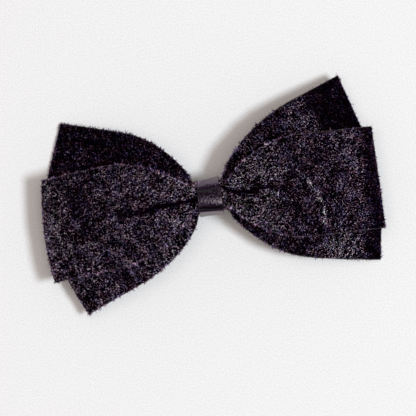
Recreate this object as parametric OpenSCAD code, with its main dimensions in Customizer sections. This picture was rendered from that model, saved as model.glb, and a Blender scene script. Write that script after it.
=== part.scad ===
// Velvet hair bow on a French clip. One straight looped ribbon lies over two crossed ones.
// A satin band ties them, and they are glued to a bowed steel clip whose arm swings open.
// Millimetres, +Z up, X along the bow, Y across it. The bow lies face up on the plane z = 0,
// and the origin is on that plane under the middle of the bow.

/* [Ribbon] */
// Width of the velvet ribbon
ribbon_w = 38; // [34:1:40]
// Thickness of the velvet with its pile
ribbon_t = 0.9; // [0.7:0.1:1]
// Width that every ribbon is gathered to at the knot
waist_w = 10.4; // [9.6:0.2:11]
// Distance over which the front right loop spreads from the knot to its full width
flare_l = 30; // [26:1:36]

/* [Front loops] */
// Reach of the left loop from the edge of the knot to its fold
front_left_reach = 54.5; // [50:0.1:57]
// Turn of the left loop, negative towards -Y
front_left_angle = -4.8; // [-8:0.1:4]
// Reach of the right loop from the edge of the knot to its fold
front_right_reach = 57.3; // [50:0.1:58]
// Turn of the right loop, negative towards -Y
front_right_angle = -1.7; // [-8:0.1:4]
// Extra half height of a front loop at its middle
front_puff = 2.2; // [1.5:0.1:2.4]

/* [Back loops] */
// Reach of the upper left loop
upper_left_reach = 55; // [48:0.1:56]
// Turn of the upper left loop towards +Y
upper_left_angle = 17.6; // [14:0.1:22]
// Reach of the lower left loop
lower_left_reach = 56.1; // [48:0.1:57]
// Turn of the lower left loop towards -Y
lower_left_angle = 20.5; // [14:0.1:22]
// Reach of the upper right loop
upper_right_reach = 58.4; // [50:0.1:59]
// Turn of the upper right loop towards +Y
upper_right_angle = 20.1; // [14:0.1:22]
// Reach of the lower right loop
lower_right_reach = 61.1; // [52:0.1:62]
// Turn of the lower right loop towards -Y
lower_right_angle = 13.3; // [10:0.1:18]

/* [Knot] */
// Width of the satin band along the bow
band_w = 8.7; // [8:0.1:9.6]
// Thickness of the satin band
band_t = 0.35; // [0.3:0.05:0.5]
// Width of the knot across the bow, outside the band
knot_w = 13.6; // [12.6:0.1:14]

/* [Clip] */
// Radius that the plate, arm and tension bar are bowed to
bow_r = 180; // [160:5:220]
// Half length of the plate
plate_half = 32.6; // [32:0.1:33]
// Width of the plate
plate_w = 9; // [8.6:0.1:10]
// Thickness of the plate and of the arm
plate_t = 0.8; // [0.6:0.1:1]
// Clear height for hair between the arm and the tension bar, at the middle
hair_gap = 5.2; // [5.1:0.1:6]
// Height of the hinge pin above the surface that the bow lies on
pin_z = 2.2; // [2:0.1:2.6]
// Distance of the hinge pin from the middle of the bow
pin_x = 30.5; // [30.3:0.1:30.6]
// Radius of the hinge pin
pin_r = 0.6; // [0.5:0.05:0.7]
// Turn of the tension bar from the plate when nothing presses it
bar_tilt = 1.6; // [1.4:0.1:1.8]

/* [Hidden] */
$fn = 48;
ARC_FN = 360;
STEPS = 24;

skin_gap = 0.05;        // between pieces that lie against each other
running_gap = 0.05;     // between the pin and the arm's knuckle
side_gap = 0.3;         // between pieces that slide past each other
reach_over = 2;         // how far a cutter stands proud of what it cuts

// Clip heights, from the pin upwards
bar_t = 0.4;
bar_pivot_x = 25.5;
bar_end_x = -20;
bar_w = 5;
bar_clear = 0.2;
hook_t = 0.5;
hook_w = 3;
hook_slot = [1.3, 3.6];
pin_drop = bow_drop(pin_x);
arm_top = pin_z + pin_drop + plate_t / 2;
bar_drop = bar_clear + bar_pivot_x * sin(bar_tilt);
plate_under = arm_top + hair_gap + bar_t + bar_drop;
plate_top = plate_under + plate_t;

// Knot heights, from the plate upwards
pad_t = 0.35;
pad_half = 4.4;
pad_w = 8;
thread_t = 0.3;
thread_w = 2.5;
thread_r = 0.35;        // rounding of the thread's turns
band_r = 1.2;           // rounding of the band's corners
half_back = 1.1;        // half thickness of a back ribbon where it is gathered
half_front = 1.4;       // half thickness of the front ribbon where it is gathered
layer_gap = 0.1;
band_low = plate_top + skin_gap + pad_t + skin_gap;
thread_low = band_low + band_t + skin_gap;
lower_z = thread_low + thread_t + skin_gap + half_back;
upper_z = lower_z + half_back + layer_gap + half_back;
back_thread_high = upper_z + half_back + skin_gap + thread_t;
front_thread_low = back_thread_high + skin_gap;
front_z = front_thread_low + thread_t + skin_gap + half_front;
front_thread_high = front_z + half_front + skin_gap + thread_t;
band_high = front_thread_high + skin_gap + band_t;
knot_half = 5;          // the loops turn about points this far from the middle
flare_from = 2.5;       // the loops start to spread this far past those points

// Loop heights: [middle at the knot, half there, half at the fold, puff, lift, droop, power]
// The loop droops later, nearer to its fold, with a higher power.
fold_back = 1.5;
fold_front = 2.8;
LOWER = [lower_z, half_back, fold_back, 0.15, 0, lower_z - fold_back + 0.6, 2.6];
UPPER = [upper_z, half_back, fold_back, 0.25, 1, 8.2, 2.6];
FRONT = [front_z, half_front, fold_front, front_puff, 4.2, 6, 4];
SWELL_POWER = 0.65;     // below 1, a loop is fullest nearer to the knot

// Loop plans: [reach, slope, tuck, bulge, end of the flare, flare power, sway]
// The fold leans by slope, its inner half is tucked in, and its middle bulges out. The loop
// spreads faster with a lower flare power, and sways sideways between the knot and the fold.
FRONT_LEFT = [front_left_reach, -0.097, 0, 1.6, flare_l + 2, 0.85, 0];
FRONT_RIGHT = [front_right_reach, -0.032, 0, 0, flare_l, 0.75, 0];
UPPER_LEFT = [upper_left_reach, -0.067, 3, 0, flare_l + 1, 0.75, 0.3];
LOWER_LEFT = [lower_left_reach, -0.05, 3.5, 0, flare_l + 4, 0.6, -0.7];
UPPER_RIGHT = [upper_right_reach, 0.063, 1.5, 0, flare_l + 8, 0.68, -0.2];
LOWER_RIGHT = [lower_right_reach, 0.08, 3, 0, flare_l + 4, 0.75, 1.4];

// Clip details
ear_t = 0.8;
ear_half = 2.1;
head_r = 1.1;
head_t = 0.4;
knuckle_r = 1.2;
arm_w = 6;
flange_t = 0.5;
flange_h = 0.8;
pad_low_x = -33.5;
pad_high_x = -25.5;
window_x = -29.5;
window_l = 3.4;
window_w = 5.9;
prong_l = 2.8;
prong_t = 0.4;
prong_y = 2.35;
prong_low = 0.3;
nose = 0.3;
base_low_x = -31.3;
base_high_x = -22;
base_t = 0.4;
base_w = 5.2;
rivet_x = -25;
rivet_r = 0.75;
rivet_head_r = 1.3;
rivet_head_t = 0.3;
rivet_seat = 0.02;      // play under each rivet head
sewing_x = 17;
sewing_r = 0.7;

// How far a strip bowed to radius bow_r has dropped at a distance x from its middle
function bow_drop(x) = bow_r - sqrt(bow_r * bow_r - x * x);

// Half width of a loop at a distance s from the knot
function spread(plan, s) =
    let (k = min(1, max(0, s - flare_from) / (plan[4] - flare_from)))
    waist_w / 2 + (ribbon_w - waist_w) / 2 * pow(sin(90 * k), plan[5]);

// How far a loop has swayed at a distance s from the knot
function drift(plan, s) = plan[6] * sin(180 * min(1, max(0, s / plan[0])));

// Distance of the fold from the knot at a place t across the ribbon
function fold_at(plan, t) =
    let (w = t / (ribbon_w / 2))
    plan[0] - plan[1] * (ribbon_w / 2 - t) - plan[2] * pow(min(0, w), 2)
        + plan[3] * (1 - w * w);

// Middle height and half height of a loop at a share u of its reach
function swell(u) = sin(180 * pow(min(1, u), SWELL_POWER));
function mid_z(rise, u) = rise[0] + rise[4] * swell(u) - rise[5] * pow(u, rise[6]);
function half_z(rise, u) = rise[1] + (rise[2] - rise[1]) * u + rise[3] * swell(u);

// The fold's rounding, 1 along the loop and falling to 0 at its tip
function cap(half, s, tip) = sqrt(max(0, 1 - pow(max(0, (s - tip) / half + 1), 2)));

// A loop seen from above, from behind its turning point to its fold
module loop_plan(plan, back, skin, proud) {
    half_w = ribbon_w / 2;
    edge_one = [for (i = [0 : STEPS - 1])
        let (s = back + (fold_at(plan, half_w) - skin - back) * i / STEPS)
        [s, spread(plan, s) + proud + drift(plan, s)]];
    edge_two = [for (i = [STEPS - 1 : -1 : 0])
        let (s = back + (fold_at(plan, -half_w) - skin - back) * i / STEPS)
        [s, -spread(plan, s) - proud + drift(plan, s)]];
    fold = [for (i = [0 : STEPS])
        let (t = half_w - ribbon_w * i / STEPS, s = fold_at(plan, t) - skin)
        [s, t * (1 + proud / half_w) + drift(plan, s)]];
    polygon(concat(edge_one, fold, edge_two));
}

// A loop seen from the side, thinned by skin all round
module loop_side(plan, rise, back, skin) {
    half_w = ribbon_w / 2;
    tip = max([for (i = [-STEPS : STEPS]) fold_at(plan, half_w * i / STEPS)]) - skin;
    fold_half = rise[2] - skin;
    body = [for (i = [0 : STEPS]) let (s = (tip - fold_half) * i / STEPS) if (s > back) s];
    round_end = [for (i = [1 : 8]) tip - fold_half * (1 - sin(90 * i / 8))];
    run = concat([back], body, round_end);
    reach = tip + skin;
    upper = [for (s = run)
        let (u = max(0, s / reach))
        [s, mid_z(rise, u) + (half_z(rise, u) - skin) * cap(fold_half, s, tip)]];
    lower = [for (i = [len(run) - 2 : -1 : 0])
        let (u = max(0, run[i] / reach))
        [run[i], mid_z(rise, u) - (half_z(rise, u) - skin) * cap(fold_half, run[i], tip)]];
    polygon(concat(upper, lower));
}

// One hollow ribbon loop that leaves the knot along +X
module loop(plan, rise) {
    hollow_from = 7;
    difference() {
        intersection() {
            rotate([90, 0, 0])
                linear_extrude(ribbon_w + reach_over, center = true)
                    loop_side(plan, rise, -1, 0);
            linear_extrude(front_z + ribbon_w)
                loop_plan(plan, -1, 0, 0);
        }
        intersection() {
            rotate([90, 0, 0])
                linear_extrude(ribbon_w + 2 * reach_over, center = true)
                    loop_side(plan, rise, hollow_from, ribbon_t);
            linear_extrude(front_z + ribbon_w)
                loop_plan(plan, hollow_from, ribbon_t, reach_over / 2);
        }
    }
}

// A loop turned about its own side of the knot
module turned_loop(angle, plan, rise) {
    translate([knot_half, 0, 0])
        rotate([0, 0, angle])
            loop(plan, rise);
}

// The gathered middle of a ribbon, inside the knot
module waist(rise) {
    translate([-knot_half, -waist_w / 2, rise[0] - rise[1]])
        cube([2 * knot_half, waist_w, 2 * rise[1]]);
}

module front_ribbon() {
    color([0.16, 0.12, 0.17])
    union() {
        waist(FRONT);
        turned_loop(front_right_angle, FRONT_RIGHT, FRONT);
        mirror([1, 0, 0])
            turned_loop(front_left_angle, FRONT_LEFT, FRONT);
    }
}

module back_ribbon_lower() {
    color([0.12, 0.09, 0.13])
    union() {
        waist(LOWER);
        mirror([1, 0, 0])
            turned_loop(upper_left_angle, UPPER_LEFT, LOWER);
        mirror([0, 1, 0])
            turned_loop(lower_right_angle, LOWER_RIGHT, LOWER);
    }
}

module back_ribbon_upper() {
    color([0.13, 0.1, 0.14])
    union() {
        waist(UPPER);
        turned_loop(upper_right_angle, UPPER_RIGHT, UPPER);
        mirror([1, 0, 0])
            mirror([0, 1, 0])
                turned_loop(lower_left_angle, LOWER_LEFT, UPPER);
    }
}

// A rectangle with round corners, in the plane
module round_rect(half_w, low, high, r) {
    translate([-half_w + r, low])
        square([2 * (half_w - r), high - low]);
    translate([-half_w, low + r])
        square([2 * half_w, high - low - 2 * r]);
    for (y = [-half_w + r, half_w - r], z = [low + r, high - r])
        translate([y, z])
            circle(r);
}

// A closed band that runs round the knot, across the bow
module wrap(width, t, half_w, low, high, r) {
    rotate([90, 0, 90])
        linear_extrude(width, center = true)
            difference() {
                round_rect(half_w, low, high, r);
                round_rect(half_w - t, low + t, high - t, r - t);
            }
}

module knot_band() {
    color([0.3, 0.27, 0.32])
    wrap(band_w, band_t, knot_w / 2, band_low, band_high, band_r);
}

module back_thread() {
    color([0.08, 0.07, 0.09])
    wrap(thread_w, thread_t, waist_w / 2 + skin_gap + thread_t,
        thread_low, back_thread_high, thread_r);
}

module front_thread() {
    color([0.08, 0.07, 0.09])
    wrap(thread_w, thread_t, waist_w / 2 + skin_gap + thread_t,
        front_thread_low, front_thread_high, thread_r);
}

// A strip bowed to a radius, whose top is at the height top in its middle
module bowed_strip(top, r, t, low_x, high_x, width) {
    intersection() {
        translate([0, 0, top - r])
            rotate([90, 0, 0])
                difference() {
                    cylinder(h = width, r = r, center = true, $fn = ARC_FN);
                    cylinder(h = width + reach_over, r = r - t, center = true, $fn = ARC_FN);
                }
        translate([low_x, -width, top - r / 4])
            cube([high_x - low_x, 2 * width, r / 4 + reach_over]);
    }
}

// Places its children at a distance x along the bowed plate, square to its top face
module on_plate(x) {
    translate([0, 0, plate_top - bow_r])
        rotate([0, asin(x / bow_r), 0])
            translate([0, 0, bow_r])
                children();
}

module barrette_plate() {
    color("silver")
    difference() {
        union() {
            intersection() {
                bowed_strip(plate_top, bow_r, plate_t, -plate_half, plate_half, plate_w);
                linear_extrude(plate_top + reach_over)
                    union() {
                        square([2 * plate_half - plate_w, plate_w], center = true);
                        for (side = [-1, 1])
                            translate([side * (plate_half - plate_w / 2), 0])
                                circle(plate_w / 2);
                        translate([pin_x - 3 * ear_half, -plate_w / 2])
                            square([4 * ear_half, plate_w]);
                    }
            }
            for (side = [-1, 1])
                ear(side);
        }
        for (x = [-sewing_x, sewing_x])
            on_plate(x)
                cylinder(h = 4 * plate_t, r = sewing_r, center = true);
        on_plate(rivet_x)
            cylinder(h = 4 * plate_t, r = rivet_r + running_gap, center = true);
        on_plate(bar_pivot_x)
            cube([hook_slot[0], hook_slot[1], 4 * plate_t], center = true);
        translate([pin_x, 0, pin_z])
            rotate([90, 0, 0])
                cylinder(h = 2 * plate_w, r = pin_r + running_gap / 2, center = true);
    }
}

// A lug that hangs from the plate's edge and holds one end of the pin
module ear(side) {
    top = plate_under - bow_drop(pin_x + ear_half) + plate_t / 2;
    inner = plate_w / 2 - ear_t;
    translate([pin_x - ear_half, side > 0 ? inner : -plate_w / 2, 0])
        cube([2 * ear_half, ear_t, top]);
}

module hinge_pin() {
    color("gray")
    translate([pin_x, 0, pin_z])
        rotate([90, 0, 0])
            union() {
                cylinder(h = plate_w + 2 * skin_gap, r = pin_r, center = true);
                for (side = [-1, 1])
                    translate([0, 0, side * (plate_w / 2 + skin_gap + head_t / 2)])
                        cylinder(h = head_t, r = head_r, center = true);
            }
}

module clasp_arm() {
    pin_bore_r = pin_r + running_gap;
    knuckle_w = plate_w - 2 * ear_t - 2 * side_gap;
    color("silver")
    difference() {
        union() {
            bowed_strip(arm_top, bow_r, plate_t, pad_high_x - 1, pin_x, arm_w);
            bowed_strip(arm_top, bow_r, plate_t, pad_low_x, pad_high_x, plate_w);
            for (side = [-1, 1])
                translate([0, side * (arm_w - flange_t) / 2, 0])
                    bowed_strip(arm_top - plate_t / 2, bow_r - plate_t / 2,
                        plate_t / 2 + flange_h, pad_high_x, pin_x - 2, flange_t);
            translate([pin_x, 0, pin_z])
                rotate([90, 0, 0])
                    cylinder(h = knuckle_w, r = knuckle_r, center = true);
        }
        translate([window_x, 0, pin_z])
            cube([window_l, window_w, 8 * plate_t], center = true);
        translate([pin_x, 0, pin_z])
            rotate([90, 0, 0])
                cylinder(h = plate_w, r = pin_bore_r, center = true);
    }
}

module tension_bar() {
    bar_top = plate_under - bar_clear;
    pivot_z = plate_under - bow_drop(bar_pivot_x);
    hook_h = plate_t + bar_clear + bar_t;
    color("silver")
    translate([bar_pivot_x, 0, pivot_z])
        rotate([0, -bar_tilt, 0])
            translate([-bar_pivot_x, 0, -pivot_z])
                union() {
                    bowed_strip(bar_top, bow_r - plate_t - bar_clear, bar_t,
                        bar_end_x, bar_pivot_x + hook_t / 2, bar_w);
                    translate([bar_pivot_x - hook_t / 2, -hook_w / 2, pivot_z - bar_clear - bar_t])
                        cube([hook_t, hook_w, hook_h]);
                }
}

module catch_base() {
    color("gray")
    difference() {
        bowed_strip(plate_under - skin_gap, bow_r - plate_t - skin_gap, base_t,
            base_low_x, base_high_x, base_w);
        on_plate(rivet_x)
            cylinder(h = 8 * plate_t, r = rivet_r + running_gap, center = true);
    }
}

module catch_rivet() {
    grip = plate_t + skin_gap + base_t;
    color("gray")
    on_plate(rivet_x)
        union() {
            translate([0, 0, -grip - rivet_head_t / 2])
                cylinder(h = grip + rivet_head_t, r = rivet_r);
            translate([0, 0, rivet_seat])
                cylinder(h = rivet_head_t, r = rivet_head_r);
            translate([0, 0, -grip - rivet_head_t - rivet_seat])
                cylinder(h = rivet_head_t, r = rivet_head_r);
        }
}

// One springy leg of the catch, whose nose holds the arm shut
module catch_prong() {
    top = plate_under - skin_gap - base_t - bow_drop(window_x - prong_l / 2) - 0.1;
    arm_under = arm_top - plate_t - bow_drop(window_x - prong_l / 2);
    nose_top = arm_under - 0.15;
    low_y = prong_y - prong_t / 2;
    high_y = prong_y + prong_t / 2;
    translate([window_x, 0, 0])
        rotate([90, 0, 90])
            linear_extrude(prong_l, center = true)
                polygon([
                    [low_y, prong_low], [high_y - 0.1, prong_low],
                    [high_y + nose, (prong_low + nose_top) / 2], [high_y + nose, nose_top],
                    [high_y, nose_top], [high_y, top], [low_y, top]
                ]);
}

module catch_prong_back() {
    color("gray")
    catch_prong();
}

module catch_prong_front() {
    color("gray")
    mirror([0, 1, 0])
        catch_prong();
}

module glue_pad() {
    color([0.85, 0.83, 0.76])
    bowed_strip(plate_top + skin_gap + pad_t, bow_r + skin_gap + pad_t, pad_t,
        -pad_half, pad_half, pad_w);
}

barrette_plate();
hinge_pin();
clasp_arm();
tension_bar();
catch_base();
catch_rivet();
catch_prong_front();
catch_prong_back();
glue_pad();
back_ribbon_lower();
back_ribbon_upper();
back_thread();
front_ribbon();
front_thread();
knot_band();
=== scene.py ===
"""Velvet hair bow on a French clip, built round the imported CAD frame.

Lengths in the model functions are millimetres, and become metres when a mesh is made.
Tones are grey levels from 0 to 255, as a screen shows them. The satin's are shares of 1.
"""

import math

import bpy
import numpy as np
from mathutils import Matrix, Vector


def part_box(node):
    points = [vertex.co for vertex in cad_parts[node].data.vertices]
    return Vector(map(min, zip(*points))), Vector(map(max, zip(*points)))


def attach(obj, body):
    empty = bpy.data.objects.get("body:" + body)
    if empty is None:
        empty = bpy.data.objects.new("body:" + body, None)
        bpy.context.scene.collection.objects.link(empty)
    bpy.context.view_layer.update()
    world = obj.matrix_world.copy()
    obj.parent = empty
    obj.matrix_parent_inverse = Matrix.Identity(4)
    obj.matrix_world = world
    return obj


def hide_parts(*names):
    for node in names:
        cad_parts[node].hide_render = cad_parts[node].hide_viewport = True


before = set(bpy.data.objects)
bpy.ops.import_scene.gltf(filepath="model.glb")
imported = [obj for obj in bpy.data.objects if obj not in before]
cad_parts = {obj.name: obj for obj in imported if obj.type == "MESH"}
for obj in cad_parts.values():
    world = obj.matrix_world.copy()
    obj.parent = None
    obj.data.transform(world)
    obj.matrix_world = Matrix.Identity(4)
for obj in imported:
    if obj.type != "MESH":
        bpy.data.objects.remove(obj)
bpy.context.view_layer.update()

MM = 0.001
RIBBON_W = 38.0
RIBBON_T = 0.45          # backing and the dense foot of the pile
WAIST_W = 10.4           # width that every ribbon is gathered to
PIVOT = 5.0              # the loops turn about points this far from the middle
FLARE_FROM = 2.5         # the loops start to spread this far past those points
SWELL_POWER = 0.65       # below 1, a loop is fullest nearer to the knot
WAIST_ROUND = 0.6        # how far the edges of a gathered waist are drawn in
ALONG = 84               # rows of points along each face of a loop
CAP = 13                 # rows of points round its fold
FLOOR_GAP = 0.02         # the ribbons rest this far above the floor
UNDER_TONE = 22          # tone of the pile under a loop


def box_mm(node):
    """The lowest and highest corner of a CAD node, in millimetres."""
    low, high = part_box(node)
    return np.array(low) / MM, np.array(high) / MM


# ---------------------------------------------------------------- numbers and noise

def waves(points, scale, seed, count=26):
    """Smooth noise with a spread of about 1: plane waves whose lengths are near scale."""
    rng = np.random.default_rng(seed)
    total = np.zeros(points.shape[:-1])
    for _ in range(count):
        direction = rng.standard_normal(3)
        direction /= np.linalg.norm(direction)
        turns = 2 * math.pi / (scale * rng.uniform(0.7, 1.5))
        total += np.sin(points @ direction * turns + rng.uniform(0, 2 * math.pi))
    return total / math.sqrt(count / 2)


def bump(x, middle, width):
    """A bell curve that is 1 at the middle."""
    return np.exp(-(((x - middle) / width) ** 2))


def smooth(x, low, high):
    """Eases from 0 at low to 1 at high."""
    k = np.clip((x - low) / (high - low), 0, 1)
    return k * k * (3 - 2 * k)


def boxy(wave, power):
    """Squares up a sine or cosine: a circle drawn with it turns into a rounded box."""
    return np.sign(wave) * np.abs(wave) ** power


def full_turn(count):
    """Angles spread evenly round a full turn."""
    return np.linspace(0, 2 * math.pi, count + 1)[:-1]


def unit(v):
    """Vectors of length 1."""
    return v / np.maximum(np.linalg.norm(v, axis=-1, keepdims=True), 1e-12)


def bent_line(x, stops):
    """A smooth line through given (x, y) stops, each eased into the next."""
    total = np.full(np.shape(x), float(stops[0][1]))
    for (x0, y0), (x1, y1) in zip(stops, stops[1:]):
        total += (y1 - y0) * smooth(x, x0, x1)
    return total


# ---------------------------------------------------------------- meshes

def mesh_object(name, points, faces, materials, slots=None, shade_smooth=True):
    """A mesh object from points in millimetres."""
    mesh = bpy.data.meshes.new(name)
    mesh.from_pydata((np.asarray(points) * MM).tolist(), [], np.asarray(faces).tolist())
    for material in materials:
        mesh.materials.append(material)
    if slots is not None:
        mesh.polygons.foreach_set("material_index", np.asarray(slots, dtype=np.int32))
    mesh.polygons.foreach_set("use_smooth", np.full(len(mesh.polygons), shade_smooth))
    mesh.update()
    piece = bpy.data.objects.new(name, mesh)
    bpy.context.scene.collection.objects.link(piece)
    return piece


def grid_faces(rows, columns, ring=False, tube=False):
    """Quads of a grid of points. A ring joins its last row to its first, a tube its columns."""
    i = np.arange(rows if ring else rows - 1)[:, None]
    j = np.arange(columns if tube else columns - 1)[None, :]
    below, beside = (i + 1) % rows, (j + 1) % columns
    corners = [i * columns + j, below * columns + j, below * columns + beside, i * columns + beside]
    return np.stack(np.broadcast_arrays(*corners), axis=-1).reshape(-1, 4)


def add_tones(piece, tones):
    """Stores one tone for each point, which a material can read."""
    attribute = piece.data.attributes.new("tone", "FLOAT", "POINT")
    attribute.data.foreach_set("value", np.ravel(tones).astype(np.float32))


def thicken(piece, thickness, inner_slot=1):
    """Gives a sheet its thickness inwards. Its inner side is inner_slot materials further on."""
    shell = piece.modifiers.new("thickness", "SOLIDIFY")
    shell.thickness = thickness * MM
    shell.offset = -1
    shell.material_offset = inner_slot
    shell.use_even_offset = False


# ---------------------------------------------------------------- materials

def linear(grey):
    """The linear value of a screen's grey level."""
    c = np.clip(np.asarray(grey, dtype=float), 0, 255) / 255
    return np.where(c <= 0.04045, c / 12.92, ((c + 0.055) / 1.055) ** 2.4)


def screen(red, green, blue):
    """The linear colour of three grey levels."""
    return tuple(float(linear(c)) for c in (red, green, blue))


class Shader:
    """A node material with its Principled shader, and short ways to add to it."""

    def __init__(self, name, colour=(0.8, 0.8, 0.8), **sockets):
        self.material = bpy.data.materials.new(name)
        self.material.use_nodes = True
        self.nodes = self.material.node_tree.nodes
        self.links = self.material.node_tree.links
        self.shader = self.nodes["Principled BSDF"]
        self.shader.inputs["Base Color"].default_value = (*colour, 1)
        for socket, value in sockets.items():
            self.shader.inputs[socket.replace("_", " ")].default_value = value

    def noise(self, scale, detail=2.0):
        """Noise in the object's own metres; scale is one number or one for each axis."""
        place = self.nodes.new("ShaderNodeTexCoord")
        stretch = self.nodes.new("ShaderNodeMapping")
        stretch.inputs["Scale"].default_value = scale if isinstance(scale, tuple) else (scale,) * 3
        node = self.nodes.new("ShaderNodeTexNoise")
        node.inputs["Scale"].default_value = 1
        node.inputs["Detail"].default_value = detail
        self.links.new(place.outputs["Object"], stretch.inputs["Vector"])
        self.links.new(stretch.outputs["Vector"], node.inputs["Vector"])
        return node.outputs["Fac"]

    def attribute(self, name):
        """A value stored on the points of the mesh."""
        node = self.nodes.new("ShaderNodeAttribute")
        node.attribute_name = name
        return node.outputs["Fac"]

    def math(self, operation, *values):
        """A sum or product of sockets and plain numbers."""
        node = self.nodes.new("ShaderNodeMath")
        node.operation = operation
        for socket, value in zip(node.inputs, values):
            if isinstance(value, (int, float)):
                socket.default_value = value
            else:
                self.links.new(value, socket)
        return node.outputs[0]

    def colour(self, factor, stops):
        """Colours the base through a ramp of (position, colour) stops."""
        node = self.nodes.new("ShaderNodeValToRGB")
        elements = node.color_ramp.elements
        for element, (position, colour) in zip(elements, (stops[0], stops[-1])):
            element.position = position
            element.color = (*colour, 1)
        for position, colour in stops[1:-1]:
            elements.new(position).color = (*colour, 1)
        self.links.new(factor, node.inputs["Fac"])
        self.links.new(node.outputs["Color"], self.shader.inputs["Base Color"])

    def rough(self, factor, low, high):
        """Spreads the roughness from low to high."""
        node = self.nodes.new("ShaderNodeMapRange")
        node.inputs["To Min"].default_value = low
        node.inputs["To Max"].default_value = high
        self.links.new(factor, node.inputs["Value"])
        self.links.new(node.outputs["Result"], self.shader.inputs["Roughness"])

    def bump(self, height, strength, depth_mm):
        """Raises the surface a little where height is high."""
        node = self.nodes.new("ShaderNodeBump")
        node.inputs["Strength"].default_value = strength
        node.inputs["Distance"].default_value = depth_mm * MM
        self.links.new(height, node.inputs["Height"])
        self.links.new(node.outputs["Normal"], self.shader.inputs["Normal"])


def velvet_base():
    """The dense foot of the pile, which is nearly black."""
    velvet = Shader("velvet_base", Roughness=1.0, Specular_IOR_Level=0.0)
    velvet.colour(velvet.noise(2400, 3), [(0.4, screen(0, 0, 0)), (0.7, screen(8, 5, 8))])
    return velvet.material


def velvet_back():
    """The woven back of the ribbon, which shows inside the loops."""
    backing = Shader("velvet_back", Specular_IOR_Level=0.25)
    ribs = backing.noise((1200, 4200, 4200), 1)
    backing.colour(ribs, [(0.3, screen(18, 13, 19)), (0.7, screen(46, 38, 50))])
    backing.rough(backing.noise(500), 0.5, 0.75)
    backing.bump(ribs, 0.4, 0.08)
    return backing.material


def selvedge():
    """The woven edge of the ribbon, a little paler and browner than the pile."""
    edge = Shader("selvedge", Specular_IOR_Level=0.2)
    weave = edge.noise(1500, 2)
    edge.colour(weave, [(0.42, screen(18, 12, 17)), (0.66, screen(76, 68, 72))])
    edge.rough(edge.noise(700), 0.5, 0.8)
    edge.bump(weave, 0.5, 0.08)
    return edge.material


PILE_GREYS = (0, 9, 20, 33, 48, 66, 88, 116)
PILE_HUES = {"plum": (16, 11), "violet": (8, 20)}    # red and blue added to each grey
PILE_GAIN = 6.9          # makes up for the light lost between the tufts
PILE_BRIGHTEST = 0.9
SHINY_FROM = 4           # the first of the greys whose tufts catch the light


def pile_materials():
    """Plain materials for the tufts: each grey in a plum and in a violet."""
    made = []
    for hue, (red, blue) in PILE_HUES.items():
        for i, grey in enumerate(PILE_GREYS):
            share = min(1, (grey + 6) / 26)     # the darkest tufts carry less of the hue
            colour = screen(grey + red * share, grey, grey + blue * share)
            colour = tuple(min(PILE_BRIGHTEST, PILE_GAIN * c) for c in colour)
            glint = 0.12 if i >= SHINY_FROM else 0.0
            tuft = Shader(f"pile_{hue}_{i}", colour, Roughness=0.6, Specular_IOR_Level=glint)
            made.append(tuft.material)
    return made


def satin():
    """Smooth ribbon: its tone attribute holds painted highlights, sheen and shade."""
    band = Shader("satin", Specular_IOR_Level=0.08, Anisotropic=0.6, Sheen_Weight=0.02,
                  Sheen_Roughness=0.35)
    threads = band.noise((5200, 420, 420), 2)
    # glow is the painted light and shade of the tone attribute, with the threads' pattern added.
    glow = band.math("ADD", band.attribute("tone"), band.math("MULTIPLY", threads, 0.16))
    band.colour(glow, [(0.08, screen(6, 0, 8)), (0.35, screen(42, 26, 47)),
                       (0.62, screen(92, 82, 94)), (1.0, screen(146, 139, 139))])
    band.rough(band.noise(400), 0.34, 0.5)
    band.bump(threads, 0.25, 0.04)
    return band.material


def thread():
    """Dark sewing thread."""
    twist = Shader("thread", Specular_IOR_Level=0.2, Roughness=0.7)
    twist.colour(twist.noise(3000, 1), [(0.3, screen(14, 12, 15)), (0.7, screen(44, 40, 47))])
    return twist.material


def glue():
    """Set hot glue: milky and slightly cloudy."""
    blob = Shader("glue", Specular_IOR_Level=0.5, Transmission_Weight=0.15)
    cloud = blob.noise(420, 2)
    blob.colour(cloud, [(0.3, screen(205, 198, 178)), (0.7, screen(228, 224, 210))])
    blob.rough(cloud, 0.22, 0.4)
    return blob.material


def steel(name, tint, rough, grain):
    """Plated pressed steel with a drawn grain and light wear."""
    plate = Shader(name, Metallic=1.0)
    lines = plate.noise(grain, 3)
    plate.colour(lines, [(0.3, tuple(c * 0.8 for c in tint)), (0.7, tint)])
    plate.rough(plate.noise(350), rough * 0.7, rough * 1.4)
    plate.bump(lines, 0.12, 0.04)
    return plate.material


# ---------------------------------------------------------------- ribbon loops

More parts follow.
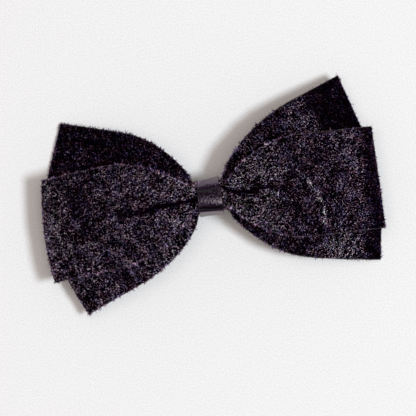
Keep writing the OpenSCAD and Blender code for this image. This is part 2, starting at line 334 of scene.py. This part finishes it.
class Loop:
    """One loop of a ribbon: where it points, its outline, how it rises and how it looks.

    side and flank are the signs of X and Y, and angle turns the loop towards its flank. On that
    flank the fold lies at reach. From there it is slanted by slope, bulged in the middle and tucked
    in on the other flank. The loop has its full width from flare_to on, and sway bends it sideways.
    rise is (height at the knot, half height there, half height at the fold, puff, lift, droop,
    droop power). relief and tone are functions of (s, t): s runs along the loop from its turning
    point, and t across it. tone holds painted shade, sheen and highlights as well as the pile's own
    tone. fuzz is a function of s, the share of the edge tufts that grow there.
    """

    def __init__(self, side, flank, angle, *, reach, slope, tuck, bulge, flare_to, flare_power,
                 sway, rise, relief, tone, fuzz):
        self.side = side
        self.flank = flank
        self.angle = math.radians(angle)
        self.reach = reach
        self.slope = slope
        self.tuck = tuck
        self.bulge = bulge
        self.flare_to = flare_to
        self.flare_power = flare_power
        self.sway = sway
        self.rise = rise
        self.relief = relief
        self.tone = tone
        self.fuzz = fuzz

    def half_width(self, s):
        """Half the width of the loop, from the gathered waist to the full ribbon."""
        k = np.clip((s - FLARE_FROM) / (self.flare_to - FLARE_FROM), 0, 1)
        return WAIST_W / 2 + (RIBBON_W - WAIST_W) / 2 * np.sin(k * math.pi / 2) ** self.flare_power

    def fold(self, b):
        """How far along the loop its fold lies, for b from -1 to 1 across it."""
        t = b * self.flank
        return (self.reach - self.slope * RIBBON_W / 2 * (1 - t)
                - self.tuck * np.minimum(0, t) ** 2 + self.bulge * (1 - t * t))

    def place(self, s, b, z):
        """The world place of a point at s along the loop, b across it and at height z."""
        drift = self.sway * np.sin(math.pi * np.clip(s / self.reach, 0, 1))
        t = b * self.flank * self.half_width(s) + drift
        x = PIVOT + s * math.cos(self.angle) - t * math.sin(self.angle)
        y = s * math.sin(self.angle) + t * math.cos(self.angle)
        return np.stack([x * self.side, y * self.flank, z], axis=-1)

    def rows(self, b):
        """Points, tones and fuzz from the knot over the top face, round the fold and back."""
        middle, half_knot, half_fold, puff, lift, droop, droop_power = self.rise
        reach = self.fold(b)[None, :]
        run = np.arange(ALONG)[:, None] / ALONG * (reach - half_fold)
        turn = np.linspace(math.pi / 2, -math.pi / 2, CAP)[:, None]
        s = np.vstack([run, reach - half_fold + half_fold * np.cos(turn), run[::-1]])
        level = np.vstack([np.ones((ALONG, 1)), np.sin(turn), -np.ones((ALONG, 1))])
        b = np.broadcast_to(b, s.shape)
        u = s / reach
        swell = np.sin(math.pi * np.clip(u, 0, 1) ** SWELL_POWER)
        half = half_knot + (half_fold - half_knot) * u + puff * swell
        z = middle + lift * swell - droop * u ** droop_power + half * level
        t = b * self.half_width(s)
        top = np.clip(level, 0, 1)
        waist_edge = WAIST_ROUND * level * b ** 4 * (1 - smooth(s, 0, 5))
        z = z + top * self.relief(s, t) - waist_edge
        points = self.place(s, b, z)
        broad_crush = 0.22 * waves(points, 11, 5) * smooth(s, 3, 16)
        fine_crush = 0.1 * waves(points, 4.5, 6) * smooth(s, 1, 6)
        crush = broad_crush + fine_crush
        points[..., 2] = np.maximum(points[..., 2] + crush, FLOOR_GAP)
        tone = top * self.tone(s, t) + (1 - top) * UNDER_TONE
        fuzz = np.broadcast_to(self.fuzz(s[:, :1]), s.shape)
        return points, tone, fuzz


def crease(s, t, stops, depth, length, width):
    """A sharp valley that runs from the knot along stops and fades out at length."""
    away = np.abs(t - bent_line(s, stops))
    fade = np.clip(1 - s / length, 0, 1) ** 0.7
    return depth * fade * np.exp(-away / (width * (0.6 + s / length)))


CREASE_SHADE = 55           # how far the painted shade drops the tone at the bottom of a crease


def crease_shade_line(s, t, stops, length):
    """Painted shade at the bottom of a crease: a thin dark line that fades out at length."""
    return CREASE_SHADE * bump(t, bent_line(s, stops), 0.6) * (1 - smooth(s, 0.5 * length, length))


def gathers(s, t, phase):
    """Small pleats that fan out from the knot."""
    fan = t / (3.2 + 0.3 * np.clip(s, 0, 40))
    return 0.35 * np.sin(fan * 5.1 + phase) * np.exp(-s / 13) * smooth(s, 0, 3)


def drooping_edges(s, t, depth, middle):
    """How far the long edges of a loop hang down, most at the middle."""
    return -depth * (np.abs(t) / (RIBBON_W / 2)) ** 3 * bump(s, middle, 16)


# The paths of the creases are stops of (s, t), and the ridge's are of (t, s).
LEFT_CREASE = [(0, -0.7), (14, -0.6), (25, -1.4), (34, 1.6)]
RIGHT_CREASE = [(0, 2.2), (3.5, 0.1), (8, -0.2), (15, 0.4), (22, -0.8)]
RIGHT_RIDGE = [(-14, 35.2), (-9, 35.6), (-4, 33.8), (1, 31.2), (6, 26.8)]


def front_left_relief(s, t):
    valley = -crease(s, t, LEFT_CREASE, 2.7, 38, 1.5)
    edges = drooping_edges(s, t, 1.3, 22)
    trough = -1.0 * bump(s, 43 + 0.1 * t, 4.2)
    swell = 0.7 * bump(s, 51, 3.5)
    lobes = 0.9 * bump(np.abs(t), 7, 4) * bump(s, 11, 10)
    return valley + edges + trough + swell + lobes + gathers(s, t, 0.4)


def front_left_tone(s, t):
    # Painted light and shade: the crease, its dark line and the trough before the fold are painted
    # shade, and the band at the fold is painted sheen.
    shade = 1 - np.minimum(1, crease(s, t, LEFT_CREASE, 1.9, 38, 1.0))
    trough = -19 * bump(s, 43.5, 4.5) * smooth(t, -9, -1) * (1 - smooth(t, 12, 16))
    fold = 16 * smooth(s, 47, 51) * smooth(t, -12, -3)
    line = crease_shade_line(s, t, LEFT_CREASE, 26)
    return (37.5 + 14 * np.exp(-s / 12) + trough + fold) * shade - line


def front_right_ridge(s, t):
    return bump(s, bent_line(t, RIGHT_RIDGE), 0.8) * smooth(t, -17, -12) * (1 - smooth(t, 3, 8))


def front_right_relief(s, t):
    valley = -crease(s, t, RIGHT_CREASE, 2.2, 24, 1.2)
    edges = drooping_edges(s, t, 1.3, 22)
    hollow = -0.7 * bump(s, bent_line(t, RIGHT_RIDGE) - 5, 4) * (1 - smooth(t, 5, 12))
    lobes = 0.9 * bump(np.abs(t), 7, 4) * bump(s, 10, 9)
    return valley + edges + 1.5 * front_right_ridge(s, t) + hollow + lobes + gathers(s, t, 2.2)


def front_right_tone(s, t):
    # Painted light and shade: the crease, its dark line and the hollow behind the ridge are painted
    # shade, the ridge is a painted highlight, and the dark band at the fold is painted shade.
    shade = 1 - np.minimum(1, crease(s, t, RIGHT_CREASE, 1.9, 24, 0.8))
    near = 28 * (1 - smooth(s, 13, 27))
    hollow = -6 * smooth(s, 18, 24) * (1 - smooth(s, 37, 42))
    corner = 6 * bump(s, 46, 6) * smooth(t, -2, 8)
    fold = -29 * smooth(s, 51.5, 54.5)
    line = crease_shade_line(s, t, RIGHT_CREASE, 20)
    return (30 + near + hollow + corner + fold + 52 * front_right_ridge(s, t)) * shade - line


def back_relief(s, t):
    """The relief of all four back loops."""
    return drooping_edges(s, t, 0.4, 20) + gathers(s, t, 1.1)


def upper_left_tone(s, t):
    # Very dark all over, partly the pile's nap and partly painted shade, and lighter near the knot
    # and towards the fold.
    return 8 + 22 * np.exp(-s / 9) + 6 * bump(s, 48, 5)


def lower_left_tone(s, t):
    # The dip about 36 mm out, along the front loop's edge, is a painted shadow of that loop; the
    # piece is lighter about 17 mm out and towards the fold.
    return 32 + 22 * bump(s, 17, 10) - 9 * bump(s, 36, 5) + 6 * smooth(s, 43, 50)


def upper_right_tone(s, t):
    return 29 - 10 * bump(s, 29, 6) + 15 * bump(s, 37.5, 4.5) - 30 * smooth(s, 41, 45)


def lower_right_tone(s, t):
    # The dip about 29 mm out, below the front loop's edge, is a painted shadow of that loop; the
    # piece is lighter about 46 mm out and darkens towards the fold.
    return 29 - 9 * bump(s, 29, 8) + 30 * bump(s, 46, 6.5) - 27 * smooth(s, 52, 56)


def all_fuzzy(s):
    """A fringe all along the loop."""
    return np.ones_like(s)


def fuzzy_near_knot(s):
    """A fringe that thins out towards the fold."""
    return 1 - 0.8 * smooth(s, 20, 34)


THREAD_T = 0.3
GAP = 0.05
HALF_BACK = 1.1          # half the height of a back ribbon's gathered waist
HALF_FRONT = 1.4         # and of the front ribbon's
waist_lower = box_mm("back_thread")[0][2] + THREAD_T + GAP + HALF_BACK
waist_upper = waist_lower + 2 * HALF_BACK + 2 * GAP
waist_front = box_mm("front_thread")[0][2] + THREAD_T + GAP + HALF_FRONT
LOWER = (waist_lower, HALF_BACK, 1.5, 0.15, 0, waist_lower - 0.9, 2.6)
UPPER = (waist_upper, HALF_BACK, 1.5, 0.25, 1.0, 8.2, 2.6)
FRONT = (waist_front, HALF_FRONT, 2.8, 2.2, 4.2, 6.0, 4)

front_left = Loop(-1, 1, -4.8, reach=54.5, slope=-0.097, tuck=0, bulge=1.6,
                  flare_to=32, flare_power=0.85, sway=0, rise=FRONT,
                  relief=front_left_relief, tone=front_left_tone, fuzz=all_fuzzy)
front_right = Loop(1, 1, -1.7, reach=57.3, slope=-0.032, tuck=0, bulge=0,
                   flare_to=30, flare_power=0.75, sway=0, rise=FRONT,
                   relief=front_right_relief, tone=front_right_tone, fuzz=fuzzy_near_knot)
upper_left = Loop(-1, 1, 17.6, reach=55.0, slope=-0.067, tuck=3, bulge=0,
                  flare_to=31, flare_power=0.75, sway=0.3, rise=LOWER,
                  relief=back_relief, tone=upper_left_tone, fuzz=all_fuzzy)
lower_right = Loop(1, -1, 13.3, reach=61.1, slope=0.08, tuck=3, bulge=0,
                   flare_to=34, flare_power=0.75, sway=1.4, rise=LOWER,
                   relief=back_relief, tone=lower_right_tone, fuzz=fuzzy_near_knot)
upper_right = Loop(1, 1, 20.1, reach=58.4, slope=0.063, tuck=1.5, bulge=0,
                   flare_to=38, flare_power=0.68, sway=-0.2, rise=UPPER,
                   relief=back_relief, tone=upper_right_tone, fuzz=fuzzy_near_knot)
lower_left = Loop(-1, -1, 20.5, reach=56.1, slope=-0.05, tuck=3.5, bulge=0,
                  flare_to=34, flare_power=0.6, sway=-0.7, rise=UPPER,
                  relief=back_relief, tone=lower_left_tone, fuzz=all_fuzzy)

SELVEDGE = 0.32          # width of the woven edge
COLUMNS = 57             # columns of points across the pile
pile_share = 1 - 2 * SELVEDGE / RIBBON_W
across = np.concatenate([[-1], np.linspace(-1, 1, COLUMNS) * pile_share, [1]])


def make_ribbon(name, node, left, right, seed):
    """The closed strip of one ribbon: over the left loop, across the knot, round the right."""
    parts = [right.rows(across), [part[::-1] for part in left.rows(across)]]
    points, tone, fuzz = (np.concatenate(pair) for pair in zip(*parts))
    count, columns = points.shape[:2]
    edge = np.isin(np.arange(columns - 1), (0, columns - 2))
    piece = mesh_object(name, points.reshape(-1, 3), grid_faces(count, columns, ring=True),
                        [velvet, backing, woven_edge, backing], np.tile(np.where(edge, 2, 0), count))
    thicken(piece, RIBBON_T)
    tufts = make_pile(name + "_pile", points, tone, fuzz, edge, seed)
    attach(piece, "bow")
    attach(tufts, "bow")
    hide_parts(node)


# ---------------------------------------------------------------- pile

TUFTS_PER_MM2 = 8.0
EDGE_TUFTS_PER_MM = 10.0
STRAYS = 0.05            # share of the tufts that are long and stand up
PILE_FROM = 4.3          # the pile starts this far from the middle, at the satin band's edge
TUFT_LENGTH = (0.26, 0.52)
TUFT_HALF = (0.06, 0.12)
FRINGE_LENGTH = (0.3, 0.85)
FRINGE_HALF = (0.08, 0.17)
FRINGE_TONE = 0.5        # tone of the fringe, as a share of the face's
TAPER = 0.4              # width of a tuft's tip, as a share of its foot


def tuft_slots(at, tone, rng, seed):
    """The material of each tuft: its tone, with blotches, speckle and a drifting hue."""
    blotch = 6 * waves(at, 5, seed + 1) + 5 * waves(at, 2.4, seed + 2)
    blotch_share = np.clip(0.3 + tone / 22, 0.35, 1.2)
    speckle = 0.95 * waves(at, 0.78, seed + 3, 40) + 0.75 * rng.standard_normal(len(at))
    speckle_depth = 11.5 + 0.46 * tone
    level = tone - 2 + blotch * blotch_share + speckle_depth * speckle
    edges = (np.array(PILE_GREYS[1:]) + np.array(PILE_GREYS[:-1])) / 2
    grey = np.digitize(level, edges)
    violet = waves(at, 4, seed + 4) + 0.8 * rng.standard_normal(len(at)) > 0
    return grey + violet * len(PILE_GREYS)


def tuft_corners(at, stem, wide, length, half):
    """The four corners of each tapering tuft, kept above the floor."""
    tip = at + stem * length
    corners = np.stack([at - wide * half, at + wide * half, tip + wide * half * TAPER,
                        tip - wide * half * TAPER], axis=1).reshape(-1, 3)
    corners[:, 2] = np.maximum(corners[:, 2], FLOOR_GAP)
    return corners


def between(a, b, share):
    """Points that lie this share of the way from a to b."""
    return a * (1 - share) + b * share


def face_tufts(quads, outward, tone, edge, rng, seed):
    """Corners and materials of the short leaning tufts over the outer face of a ribbon."""
    a, b, c, d = quads
    weight = np.linalg.norm(outward, axis=-1) * ~edge[None, :] * (np.abs(a[..., 0]) > PILE_FROM)
    total = int(weight.sum() * TUFTS_PER_MM2)
    pick = rng.choice(weight.size, total, p=(weight / weight.sum()).ravel())
    i, j = np.unravel_index(pick, weight.shape)
    u, v = rng.random((2, total, 1))
    at = between(between(a[i, j], b[i, j], v), between(c[i, j], d[i, j], v), u)
    normal = unit(outward[i, j])
    along = unit(c[i, j] - a[i, j])
    sideways = np.cross(normal, along)
    swirl = 1.5 * waves(at, 8, seed + 5) + 0.7 * rng.standard_normal(total)
    lean = 0.95 + 0.25 * waves(at, 5, seed + 6) + 0.25 * rng.standard_normal(total)
    lean = np.clip(lean, 0.1, 1.3)
    stray = rng.random(total) < STRAYS
    lean = np.where(stray, 0.5 * lean, lean)
    way = along * np.cos(swirl)[:, None] + sideways * np.sin(swirl)[:, None]
    stem = normal * np.cos(lean)[:, None] + way * np.sin(lean)[:, None]
    wide = unit(np.cross(stem, normal) + 0.4 * rng.standard_normal((total, 3)))
    length = rng.uniform(*TUFT_LENGTH, (total, 1))
    half = rng.uniform(*TUFT_HALF, (total, 1))
    side_on = 1 - smooth(np.abs(normal[:, 2]), 0.3, 0.85)
    clump = side_on * np.clip(waves(at, 1.2, seed + 8), 0, 1.5)
    length = length * (1 + 0.8 * stray + 0.8 * clump)[:, None]
    half = half * (1 + 0.4 * clump)[:, None]
    corners = tuft_corners(at - 0.05 * normal, stem, wide, length, half)
    return corners, tuft_slots(at, tone[i, j], rng, seed)


def fringe_tufts(line, out, up, tone, fuzz, rng, seed):
    """Corners and materials of the ragged fringe along one edge, which is a line of points."""
    following = np.roll(line, -1, axis=0)
    step = np.linalg.norm(following - line, axis=1)
    weight = step * fuzz * (np.abs(line[:, 0]) > PILE_FROM)
    total = int(weight.sum() * EDGE_TUFTS_PER_MM)
    i = rng.choice(len(line), total, p=weight / weight.sum())
    at = between(line[i], following[i], rng.random((total, 1)))
    at = at - out[i] * rng.uniform(0, 0.6, (total, 1))
    ragged = np.clip(0.6 + 0.85 * waves(at, 1.15, seed + 7), 0.05, 1.7)[:, None]
    stem = unit(out[i] + 0.45 * up[i] + 0.5 * rng.standard_normal((total, 3)))
    wide = unit(np.cross(stem, up[i]) + 0.4 * rng.standard_normal((total, 3)))
    length = rng.uniform(*FRINGE_LENGTH, (total, 1)) * ragged
    half = rng.uniform(*FRINGE_HALF, (total, 1))
    corners = tuft_corners(at, stem, wide, length, half)
    return corners, tuft_slots(at, FRINGE_TONE * tone[i], rng, seed)


def make_pile(name, rows, tone, fuzz, edge, seed):
    """The tufts of a whole ribbon: those of its outer face, and a fringe along each edge."""
    rng = np.random.default_rng(seed)
    below = np.roll(rows, -1, axis=0)
    a, b, c, d = rows[:, :-1], rows[:, 1:], below[:, :-1], below[:, 1:]
    outward = np.cross(c - a, b - a)
    tufts = [face_tufts((a, b, c, d), outward, tone, edge, rng, seed)]
    for column, inner in ((0, 1), (-1, -2)):
        line = rows[:, column]
        out = unit(line - rows[:, inner])
        up = unit(outward[:, column])
        tufts.append(fringe_tufts(line, out, up, tone[:, column], fuzz[:, column], rng, seed))
    corners, slots = (np.concatenate(parts) for parts in zip(*tufts))
    return mesh_object(name, corners, np.arange(len(corners)).reshape(-1, 4), pile, slots,
                       shade_smooth=False)


velvet = velvet_base()
backing = velvet_back()
woven_edge = selvedge()
pile = pile_materials()
make_ribbon("front_bow", "front_ribbon", front_left, front_right, 11)
make_ribbon("lower_bow", "back_ribbon_lower", upper_left, lower_right, 23)
make_ribbon("upper_bow", "back_ribbon_upper", lower_left, upper_right, 37)


# ---------------------------------------------------------------- knot

SATIN_T = 0.3
SATIN_HALF_W = 4.35
SATIN_X = -0.2               # the middle of the band
SATIN_Y = -0.45
SATIN_ROUND = 220            # rows of points round the band
SATIN_ALONG = 61             # columns of points across its width
SATIN_EDGE_FROM = 0.97       # share of its half width where the woven edge starts


def satin_outline(half_y, half_z, count):
    """Evenly spaced (y, z) points of the band's closed outline, as seen along the bow."""
    def outline(turn):
        y, z = half_y * boxy(np.cos(turn), 0.55), half_z * boxy(np.sin(turn), 0.6)
        return np.stack([y, z], axis=-1)

    turn = np.linspace(0, 2 * math.pi, 4001)
    steps = np.linalg.norm(np.diff(outline(turn), axis=0), axis=1)
    run = np.concatenate([[0], np.cumsum(steps)])
    return outline(np.interp(np.linspace(0, run[-1], count + 1)[:-1], run, turn))


def satin_folds(w, b):
    """The height of the creases over the knot. w runs across the bow and b along it."""
    fold = -0.5 * bump(w, -0.6, 0.07) + 0.3 * bump(w, -0.4, 0.16) + 0.16 * bump(w, 0.1, 0.2)
    fold = fold - 0.3 * bump(w, 0.66 - 0.06 * b, 0.08) + 0.1 * np.sin(w * 17 + b * 1.3)
    pull = -0.22 * (1 - b ** 2)
    return (fold + pull) * (0.6 + 0.4 * np.cos(b * 1.2))


def satin_tone(w, b, edge_on, points):
    """The band's tone: painted sheen on both sides, where it is seen edge on, and in a band along
    one fold; painted shade in the crease on the -y side; a little darker to the left above the
    middle; and random flecks.
    """
    fleck = waves(points, 0.75, 71, 60) * (1 - smooth(np.abs(w), 0.55, 0.75))
    # strips and glow are painted sheen, and the first part of dark is painted shade in the crease.
    strips = (0.5 + 0.06 * b) * smooth(w, 0.42, 0.9) + 0.66 * (1 - smooth(w, -0.84, -0.7))
    glow = (0.38 + 0.16 * b) * bump(w, -0.2 - 0.12 * b, 0.22)
    dark = 0.42 * bump(w, -0.58 + 0.03 * b, 0.11) + 0.06 * (1 - b) * bump(w, 0.3, 0.3)
    return 0.1 + strips * edge_on + glow - dark + 0.15 * fleck


def make_satin_band():
    """A strip that goes round the knot, creased along the bow where it bends over the sides."""
    low, high = box_mm("knot_band")
    half_y = (high[1] - low[1]) / 2
    half_z = (high[2] - low[2]) / 2 + 0.1
    outline = satin_outline(half_y, half_z, SATIN_ROUND)
    flat_y, flat_z = outline[:, :1], outline[:, 1:]
    b = np.linspace(-1, 1, SATIN_ALONG)[None, :]
    w = flat_y / half_y + 0 * b
    over = smooth(flat_z / half_z, 0.5, 0.95)
    edge_on = smooth(flat_z / half_z, -0.6, 0)
    y = flat_y * (1 + (0.055 + 0.02 * (w < 0)) * b * edge_on) * (1 - 0.02 * (1 - b ** 2))
    y = y + edge_on * (0.15 * (1 + b) * smooth(-w, 0.3, 1)
                       - 0.42 * smooth(-b, 0.1, 1) * smooth(w, 0.3, 1))
    x = SATIN_X + b * (SATIN_HALF_W - 0.3 * w * over)
    z = (low[2] + high[2]) / 2 + flat_z + over * satin_folds(w, b)
    points = np.stack([x, y + SATIN_Y, z], axis=-1)
    tone = satin_tone(w, b, edge_on, points)
    edge = np.abs(b[0, :-1] + b[0, 1:]) / 2 > SATIN_EDGE_FROM
    piece = mesh_object("satin_band", points.reshape(-1, 3),
                        grid_faces(*points.shape[:2], ring=True)[:, ::-1],
                        [satin(), woven_edge], np.tile(np.where(edge, 1, 0), len(points)))
    add_tones(piece, tone)
    thicken(piece, SATIN_T, inner_slot=0)
    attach(piece, "bow")
    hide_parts("knot_band")


make_satin_band()


# ---------------------------------------------------------------- threads and glue

THREAD_TURNS = 8
THREAD_SIDES = 8
THREAD_STEPS = 40        # rings of points for each turn
THREAD_FLAT = 0.7        # the thread's height, as a share of its width
GLUE_EDGE = 0.35         # height of the blob's rim
GLUE_PROFILE = [         # (share of the radius, share of the rim's height) from top to bottom
    (0, 1), (0.3, 1), (0.6, 1), (0.85, 0.98), (0.96, 0.85), (1.0, 0.5),
    (0.97, 0.15), (0.86, 0.02), (0.6, 0), (0.3, 0), (0, 0),
]


def make_wound_thread(name, node, material):
    """A thread wound round a gathered waist, turn beside turn."""
    low, high = box_mm(node)
    middle, half = (low + high) / 2, (high - low) / 2
    radius = half[0] / THREAD_TURNS
    steps = THREAD_TURNS * THREAD_STEPS
    turn = np.linspace(0, 2 * math.pi * THREAD_TURNS, steps)
    y = middle[1] + (half[1] - radius) * boxy(np.cos(turn), 0.3)
    z = middle[2] + (half[2] - radius * THREAD_FLAT) * boxy(np.sin(turn), 0.3)
    x = np.linspace(low[0] + radius, high[0] - radius, steps)
    path = np.stack([x, y, z], axis=-1)
    forward = unit(np.gradient(path, axis=0))
    outward = unit(np.cross(forward, (1.0, 0.0, 0.0)))
    round_it = full_turn(THREAD_SIDES)
    ring = (outward[:, None] * np.cos(round_it)[None, :, None] * THREAD_FLAT
            + np.cross(forward, outward)[:, None] * np.sin(round_it)[None, :, None])
    points = path[:, None] + ring * radius
    piece = mesh_object(name, points.reshape(-1, 3), grid_faces(*points.shape[:2], tube=True),
                        [material])
    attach(piece, "bow")
    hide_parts(node)


def make_glue():
    """A flattened blob of set glue that has crept out a little round its edge."""
    low, high = box_mm("glue_pad")
    half = (high - low)[:2] / 2
    turn = full_turn(72)[None, :]
    share, level = np.array(GLUE_PROFILE).T[:, :, None]
    creep = 1 + 0.05 * np.sin(3 * turn + 0.7) + 0.035 * np.sin(7 * turn)
    creep = creep + 0.02 * np.sin(13 * turn + 2)
    x = half[0] * boxy(np.cos(turn), 0.6) * share * creep
    y = half[1] * boxy(np.sin(turn), 0.6) * share * creep
    bow_drop = high[2] - low[2] - GLUE_EDGE
    z = high[2] - GLUE_EDGE + GLUE_EDGE * level - bow_drop * (x / half[0]) ** 2
    points = np.stack([x, y, z], axis=-1)
    piece = mesh_object("glue_blob", points.reshape(-1, 3),
                        grid_faces(*points.shape[:2], tube=True), [glue()])
    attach(piece, "bow")
    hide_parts("glue_pad")


dark_thread = thread()
make_wound_thread("back_winding", "back_thread", dark_thread)
make_wound_thread("front_winding", "front_thread", dark_thread)
make_glue()


# ---------------------------------------------------------------- clip

def finish_clip():
    """Gives the CAD nodes of the clip their metals."""
    pressed = steel("clip_steel", (0.62, 0.61, 0.6), 0.28, (200, 5000, 5000))
    spring = steel("spring_steel", (0.5, 0.5, 0.51), 0.34, (200, 5000, 5000))
    wire = steel("pin_steel", (0.45, 0.45, 0.46), 0.3, (4000, 400, 4000))
    finishes = {
        pressed: ("barrette_plate", "clasp_arm"),
        spring: ("tension_bar", "catch_base", "catch_prong_front", "catch_prong_back"),
        wire: ("hinge_pin", "catch_rivet"),
    }
    for material, nodes in finishes.items():
        for node in nodes:
            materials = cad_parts[node].data.materials
            materials.clear()
            materials.append(material)


finish_clip()


# ---------------------------------------------------------------- floor, light and camera

FLOOR_HALF = 3000.0
SENSOR = 36.0            # width of the camera's sensor


def make_floor():
    """The white, faintly grained surface that the bow lies on."""
    surface = Shader("floor", Specular_IOR_Level=0.1, Roughness=0.9)
    grain = surface.noise(2300, 1)
    surface.colour(grain, [(0.25, screen(224, 224, 224)), (0.75, screen(248, 248, 249))])
    surface.bump(grain, 0.1, 0.15)
    corners = [(x * FLOOR_HALF, y * FLOOR_HALF, 0) for x, y in ((-1, -1), (1, -1), (1, 1), (-1, 1))]
    piece = mesh_object("floor", corners, [(0, 1, 2, 3)], [surface.material], shade_smooth=False)


def make_lamp(name, place, size, power, colour):
    """A round soft light that faces the bow. Its place and size are in metres."""
    data = bpy.data.lights.new(name, "AREA")
    data.shape = "DISK"
    data.size = size
    data.energy = power
    data.color = colour
    lamp = bpy.data.objects.new(name, data)
    lamp.location = place
    lamp.rotation_euler = (-Vector(place)).to_track_quat("-Z", "Y").to_euler()
    bpy.context.scene.collection.objects.link(lamp)


def make_sky(strength, colour):
    """An even light from all round."""
    world = bpy.data.worlds.new("studio")
    world.use_nodes = True
    background = world.node_tree.nodes["Background"]
    background.inputs["Color"].default_value = (*colour, 1)
    background.inputs["Strength"].default_value = strength
    bpy.context.scene.world = world


def make_camera(height, looks_at, width, at_height, roll):
    """A camera that looks straight down, and whose view has this width at at_height, in metres."""
    data = bpy.data.cameras.new("camera")
    data.sensor_width = SENSOR
    data.lens = SENSOR * (height - at_height) / width
    camera = bpy.data.objects.new("camera", data)
    camera.location = (*looks_at, height)
    camera.rotation_euler = (0, 0, math.radians(roll))
    bpy.context.scene.collection.objects.link(camera)
    bpy.context.scene.camera = camera


make_floor()
make_lamp("window", (0.94, -0.24, 2.23), size=0.5, power=38.4, colour=(0.885, 0.957, 1.0))
make_lamp("ceiling", (-0.1, 0.1, 2.2), size=1.4, power=15.5, colour=(1.0, 0.9, 0.85))
make_sky(0.26, (1.0, 0.895, 0.84))
make_camera(height=1.2, looks_at=(-0.00135, -0.0043), width=0.1535, at_height=0.02, roll=-8)
bpy.context.scene.view_settings.view_transform = "Standard"
